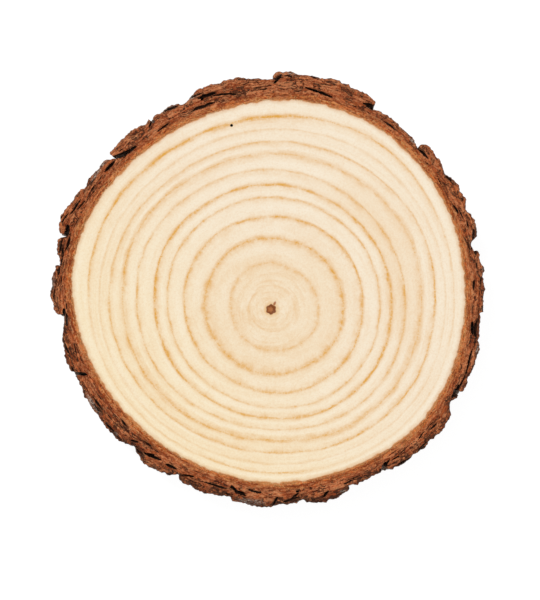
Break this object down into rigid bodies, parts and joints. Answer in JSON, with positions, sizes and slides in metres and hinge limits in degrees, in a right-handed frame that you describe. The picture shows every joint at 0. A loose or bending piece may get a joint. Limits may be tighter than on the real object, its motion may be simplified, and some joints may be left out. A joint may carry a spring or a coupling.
{
  "type": "wood slice",
  "caption": "Round slice sawn straight across a small pine trunk, with smooth flat cuts, growth rings, a small pith and rough flaky bark all round.",
  "frame": {"origin": "middle of the slice's outline, on the lower saw cut", "axes": "+Z out of the upper saw cut, +Y towards the top of the picture, +X towards its right"},
  "size_m": [0.1556, 0.1564, 0.015],
  "materials": {
    "wood": "dry sanded end grain, matt",
    "bark": "rough dry layered pine bark, matt"
  },
  "bodies": {
    "root": {"wood": "wood", "bark": "bark"}
  },
  "joints": []
}
